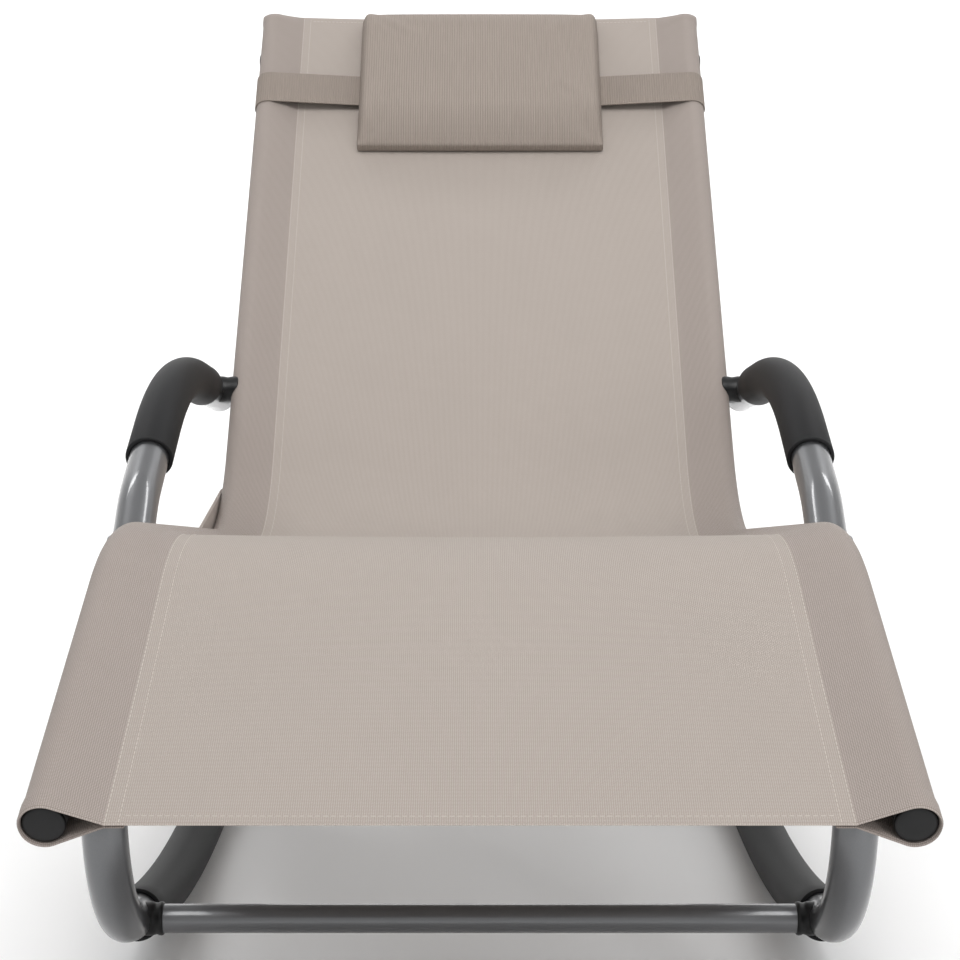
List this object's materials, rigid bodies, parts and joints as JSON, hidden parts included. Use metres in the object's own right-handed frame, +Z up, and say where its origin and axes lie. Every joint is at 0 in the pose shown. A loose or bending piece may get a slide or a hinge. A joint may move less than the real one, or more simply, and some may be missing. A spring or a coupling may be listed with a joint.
{
  "type": "rocking chaise lounge",
  "caption": "Rocking lounger of bent steel tube: a mesh sling on S-shaped rails, hung between looped arms whose curved runners rock on the floor.",
  "frame": {"origin": "on the floor, under the middle of the outline", "axes": "+Z up, +Y from the foot end to the head end, +X to the sitter's left"},
  "size_m": [0.6154, 1.454, 0.8075],
  "materials": {
    "frame_steel": "satin grey powder coat",
    "black_plastic": "matte black",
    "bolt_steel": "zinc-plated steel",
    "foam": "matte charcoal foam",
    "sling_mesh": "woven taupe mesh",
    "pillow_cloth": "woven taupe mesh with fine ribs"
  },
  "bodies": {
    "frame": {"arm_grips": "foam", "arm_saddles": "black_plastic", "cross_tube_bolts": "bolt_steel", "cross_tube_caps": "black_plastic", "cross_tube_saddles": "black_plastic", "crossbar_bolts": "bolt_steel", "crossbar_saddles": "black_plastic", "foot_cross_tube": "frame_steel", "front_crossbar": "frame_steel", "head_cross_tube": "frame_steel", "knee_cross_tube": "frame_steel", "leg_saddles": "black_plastic", "loop_caps": "black_plastic", "rail_caps": "black_plastic", "rear_crossbar": "frame_steel", "riser_bolts": "bolt_steel", "riser_saddles": "black_plastic", "runner_sleeves": "foam", "seat_rail_left": "frame_steel", "seat_rail_right": "frame_steel", "side_bolts": "bolt_steel", "side_loop_left": "frame_steel", "side_loop_right": "frame_steel", "side_pocket": "sling_mesh", "sling": "sling_mesh"},
    "pillow": {"pillow": "pillow_cloth", "pillow_strap": "pillow_cloth"}
  },
  "joints": [
    {"name": "pillow_slide", "type": "slide", "parent": "frame", "child": "pillow", "axis": [0, 0.7132, 0.7009], "range_m": [-0.15, 0.04]}
  ]
}
